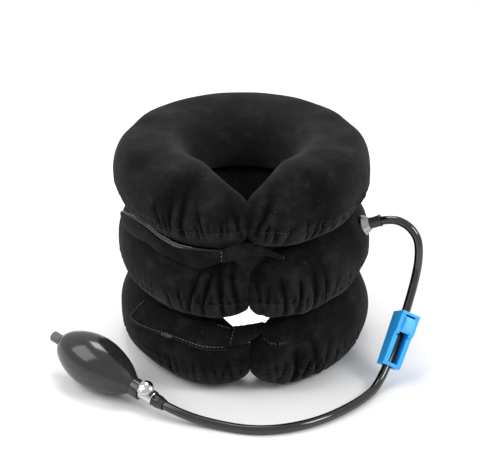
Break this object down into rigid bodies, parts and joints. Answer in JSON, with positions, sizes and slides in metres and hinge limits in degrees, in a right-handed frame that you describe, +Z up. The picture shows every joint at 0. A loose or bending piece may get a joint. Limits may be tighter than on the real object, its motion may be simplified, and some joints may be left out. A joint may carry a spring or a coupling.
{
  "type": "cervical traction device",
  "caption": "Inflatable neck traction collar of stacked ring-shaped air tiers with closing straps, air hose, roller clamp and hand bulb with release valve.",
  "frame": {"origin": "on the neck axis at the resting surface, in the middle of the lowest tier's plan", "axes": "+Z up along the neck axis, -Y towards the side where the collar opens (the front), +X to the side of the air fitting"},
  "size_m": [0.3628, 0.3392, 0.219],
  "materials": {
    "flocked_fabric": "short napped velour",
    "bladder_film": "smooth",
    "hook_tape": "woven",
    "webbing": "woven",
    "plated_metal": "polished",
    "dark_plastic": "satin",
    "black_rubber": "glossy",
    "blue_plastic": "satin moulded",
    "light_blue_plastic": "fine ribbed",
    "grey_plastic": "satin",
    "steel": "ground"
  },
  "bodies": {
    "base": {"bottom_tier_lower_panel": "flocked_fabric", "bottom_tier_upper_panel": "flocked_fabric", "bottom_tier_bladder": "bladder_film", "lower_air_link": "dark_plastic", "lower_strap_anchor": "webbing", "air_hose": "black_rubber", "clamp_body": "blue_plastic", "bulb": "black_rubber", "bulb_neck_band": "black_rubber", "inlet_cap": "grey_plastic", "valve_body": "plated_metal", "hose_cuff": "black_rubber"},
    "middle_tier": {"middle_tier_lower_panel": "flocked_fabric", "middle_tier_upper_panel": "flocked_fabric", "middle_tier_bladder": "bladder_film", "middle_strap_anchor": "webbing", "fitting_body": "plated_metal", "fitting_nut": "plated_metal", "fitting_washer": "dark_plastic", "hose_ferrule": "dark_plastic"},
    "top_tier": {"top_tier_lower_panel": "flocked_fabric", "top_tier_upper_panel": "flocked_fabric", "top_tier_bladder": "bladder_film", "upper_air_link": "dark_plastic"},
    "middle_strap": {"middle_strap_hook_tape": "hook_tape", "middle_strap_cover": "webbing", "middle_strap_band": "webbing"},
    "lower_strap": {"lower_strap_hook_tape": "hook_tape", "lower_strap_cover": "webbing", "lower_strap_band": "webbing"},
    "clamp_roller": {"clamp_roller": "light_blue_plastic"},
    "valve_screw": {"valve_screw": "plated_metal"},
    "valve_knob": {"valve_knob": "plated_metal"},
    "outlet_ball": {"outlet_check_ball": "steel"},
    "inlet_ball": {"inlet_check_ball": "steel"}
  },
  "joints": [
    {"name": "collar_deflate", "type": "slide", "parent": "base", "child": "middle_tier", "axis": [0, 0, 1], "range_m": [-0.0924, 0], "stiffness_N_per_m": 600, "springref_m": 0.15, "deforming": ["bottom_tier_lower_panel", "bottom_tier_upper_panel", "bottom_tier_bladder", "lower_air_link", "middle_tier_lower_panel", "middle_tier_upper_panel", "middle_tier_bladder", "middle_strap_anchor", "lower_strap_anchor", "lower_strap_hook_tape", "lower_strap_cover", "lower_strap_band", "air_hose"]},
    {"name": "top_tier_drop", "type": "slide", "parent": "middle_tier", "child": "top_tier", "axis": [0, 0, 1], "range_m": [-0.0614, 0], "deforming": ["top_tier_lower_panel", "top_tier_upper_panel", "top_tier_bladder", "upper_air_link", "middle_strap_hook_tape", "middle_strap_cover", "middle_strap_band"]},
    {"name": "middle_strap_swing", "type": "hinge", "parent": "middle_tier", "child": "middle_strap", "pos_m": [0.0321, -0.1105, 0.137], "axis": [0, 0, 1], "range_deg": [0, 75]},
    {"name": "lower_strap_swing", "type": "hinge", "parent": "base", "child": "lower_strap", "pos_m": [0.0195, -0.1035, 0.058], "axis": [0, 0, 1], "range_deg": [0, 75]},
    {"name": "roller_travel", "type": "slide", "parent": "base", "child": "clamp_roller", "axis": [-0.3924, -0.4107, -0.823], "range_m": [0, 0.0266], "deforming": ["air_hose"]},
    {"name": "valve_screw_travel", "type": "slide", "parent": "base", "child": "valve_screw", "axis": [-0.186, -0.4367, 0.8801], "range_m": [0, 0.0015]},
    {"name": "valve_knob_turn", "type": "hinge", "parent": "valve_screw", "child": "valve_knob", "pos_m": [-0.08854, -0.15498, 0.01531], "axis": [-0.186, -0.4367, 0.8801], "range_deg": [0, 545]},
    {"name": "outlet_ball_lift", "type": "slide", "parent": "base", "child": "outlet_ball", "axis": [0.7609, -0.6308, -0.1522], "range_m": [0, 0.0035]},
    {"name": "inlet_ball_lift", "type": "slide", "parent": "base", "child": "inlet_ball", "axis": [0.7609, -0.6308, -0.1522], "range_m": [0, 0.003]}
  ],
  "couplings": [
    {"joint": "top_tier_drop", "follows": "collar_deflate", "ratio": 0.6591},
    {"joint": "valve_knob_turn", "follows": "valve_screw_travel", "rad_per_m": 6283.2}
  ]
}
